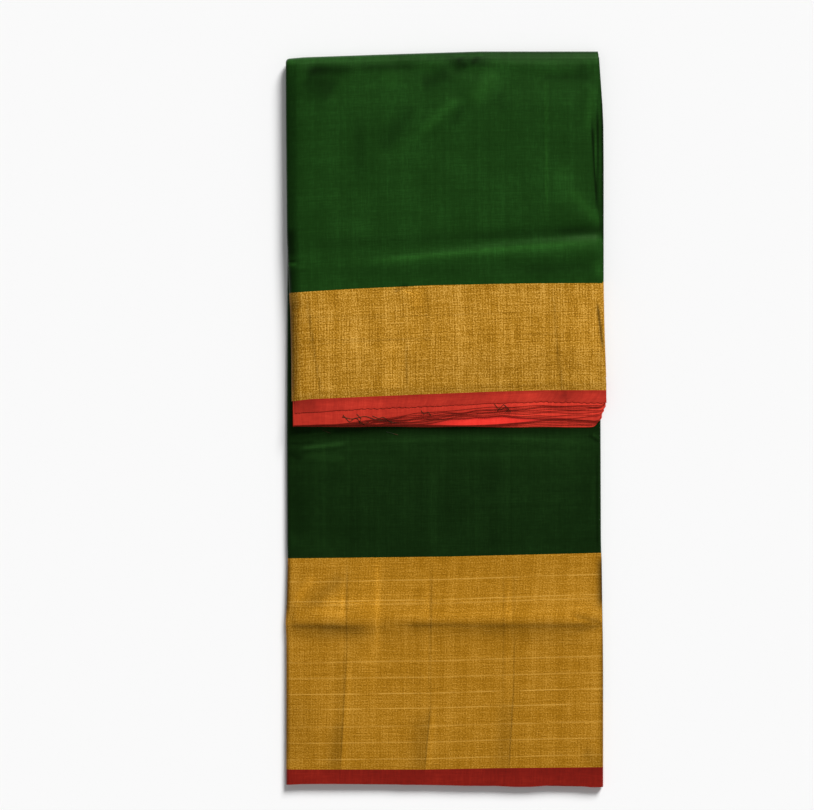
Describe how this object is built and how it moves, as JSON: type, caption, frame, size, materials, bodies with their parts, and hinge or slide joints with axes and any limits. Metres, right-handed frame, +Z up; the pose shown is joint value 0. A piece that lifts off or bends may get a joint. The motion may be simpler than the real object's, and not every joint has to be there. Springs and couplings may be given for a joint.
{
  "type": "folded silk saree",
  "caption": "Silk saree folded into a flat oblong packet with its upper third turned down over the rest: green field, gold woven border and red selvedges.",
  "frame": {"origin": "centre of the packet's outline, on the flat underside where it rests", "axes": "+X across the packet towards its open folds, +Y from the lower hem to the top fold, +Z up off the surface"},
  "size_m": [0.3506, 0.805, 0.0182],
  "materials": {
    "green_silk": "plain woven silk, soft sheen",
    "gold_zari": "close weave of gilt thread on silk, satin gleam",
    "red_silk": "woven silk selvedge, soft sheen"
  },
  "bodies": {
    "root": {"flap_field": "green_silk", "flap_border": "gold_zari", "flap_selvedge": "red_silk", "inner_selvedge_1": "red_silk", "inner_selvedge_2": "red_silk", "inner_selvedge_3": "red_silk", "inner_selvedge_4": "red_silk", "inner_selvedge_5": "red_silk", "lower_field": "green_silk", "lower_border": "gold_zari", "lower_selvedge": "red_silk", "inner_layers": "green_silk"}
  },
  "joints": []
}
